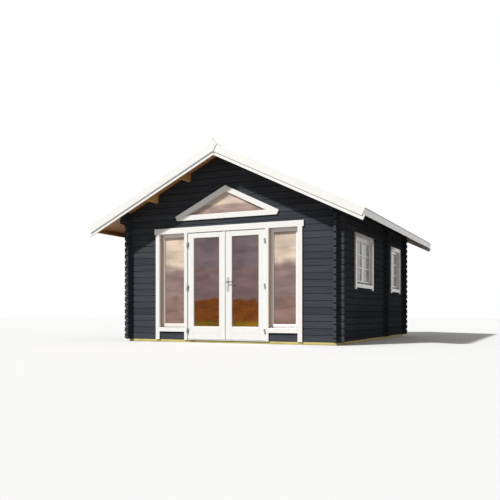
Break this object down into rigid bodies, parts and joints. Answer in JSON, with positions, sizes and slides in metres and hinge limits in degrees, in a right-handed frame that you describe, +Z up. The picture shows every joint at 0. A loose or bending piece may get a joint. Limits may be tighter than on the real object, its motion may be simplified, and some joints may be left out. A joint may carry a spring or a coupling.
{
  "type": "log cabin",
  "caption": "Two-room garden log cabin with notched log corners, a felted gable roof on purlins, glazed double doors with side lights, and windows in one side wall and the gable.",
  "frame": {"origin": "middle of the cabin's outline in plan, on the ground under its bearers", "axes": "+X to the right of a person facing the doors, the doors face -Y, +Z up"},
  "size_m": [5.213, 5.768, 3.4628],
  "materials": {
    "painted_logs": "satin stain",
    "white_paint": "satin paint",
    "roof_pine": "oiled",
    "floor_pine": "planed",
    "treated_bearer": "sawn",
    "felt": "mineral grit",
    "glass": "clear",
    "threshold_metal": "satin",
    "steel": "satin"
  },
  "bodies": {
    "cabin": {"foundation_side_beams": "treated_bearer", "foundation_cross_beams": "treated_bearer", "floor_boards": "floor_pine", "front_base_logs": "painted_logs", "front_left_logs": "painted_logs", "front_right_logs": "painted_logs", "front_lintel_logs": "painted_logs", "front_gable_side_logs": "painted_logs", "front_gable_peak_logs": "painted_logs", "rear_wall_logs": "painted_logs", "rear_gable_logs": "painted_logs", "left_wall_logs": "painted_logs", "right_lower_logs": "painted_logs", "right_window_logs": "painted_logs", "right_upper_logs": "painted_logs", "eave_logs": "painted_logs", "partition_side_logs": "painted_logs", "partition_upper_logs": "painted_logs", "roof_purlins": "roof_pine", "left_roof_boards": "roof_pine", "right_roof_boards": "roof_pine", "left_roof_felt": "felt", "right_roof_felt": "felt", "ridge_felt": "felt", "eave_fascias": "white_paint", "upper_bargeboards": "white_paint", "lower_bargeboards": "white_paint", "gable_kites": "white_paint", "front_head_casing": "white_paint", "front_side_casings": "white_paint", "front_frame_posts": "white_paint", "front_frame_head": "white_paint", "door_threshold": "threshold_metal", "sidelight_sills": "white_paint", "sidelight_sashes": "white_paint", "sidelight_glass": "glass", "gable_window_casing": "white_paint", "gable_window_frame": "white_paint", "gable_window_glass": "glass", "side_window_casings": "white_paint", "side_window_frames": "white_paint", "side_window_sashes": "white_paint", "side_window_glass": "glass", "frame_hinges": "steel"},
    "left_door": {"left_door_leaf": "white_paint", "left_door_glass": "glass", "left_door_hinges": "steel"},
    "right_door": {"right_door_leaf": "white_paint", "right_door_glass": "glass", "right_door_hinges": "steel", "door_handle_plates": "steel"},
    "lever": {"door_lever": "steel"}
  },
  "joints": [
    {"name": "left_door_swing", "type": "hinge", "parent": "cabin", "child": "left_door", "pos_m": [-0.757, -2.431, 0.045], "axis": [0, 0, -1], "range_deg": [0, 110]},
    {"name": "right_door_swing", "type": "hinge", "parent": "cabin", "child": "right_door", "pos_m": [0.757, -2.431, 0.045], "axis": [0, 0, 1], "range_deg": [0, 110]},
    {"name": "lever_turn", "type": "hinge", "parent": "right_door", "child": "lever", "pos_m": [0.046, -2.4, 1.062], "axis": [0, 1, 0], "range_deg": [0, 40], "stiffness_Nm_per_rad": 1, "springref_deg": -34.38}
  ]
}
